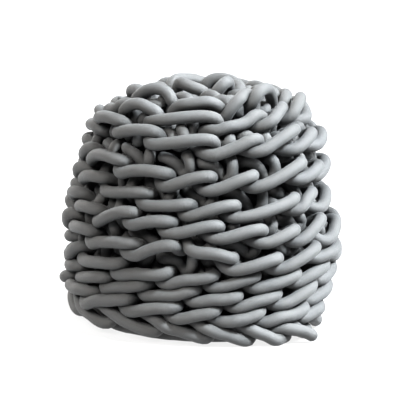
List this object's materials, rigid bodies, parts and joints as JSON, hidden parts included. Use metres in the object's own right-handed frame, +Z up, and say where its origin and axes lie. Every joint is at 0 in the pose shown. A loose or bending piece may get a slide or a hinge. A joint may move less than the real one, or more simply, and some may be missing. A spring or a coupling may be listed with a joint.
{
  "type": "crocheted rope pouf",
  "caption": "Round filled floor pouf crocheted from thick soft grey rope in one downward spiral, flat underneath.",
  "frame": {"origin": "centre of the flat underside, on the floor", "axes": "+Z up along the pouf's axis, -Y towards the front, where the rope's cut end lies to the right"},
  "size_m": [0.5017, 0.5027, 0.4361],
  "materials": {
    "rope": "smooth matte stretch jersey over a soft cord"
  },
  "bodies": {
    "root": {"pouf": "rope", "rope_end": "rope"}
  },
  "joints": []
}
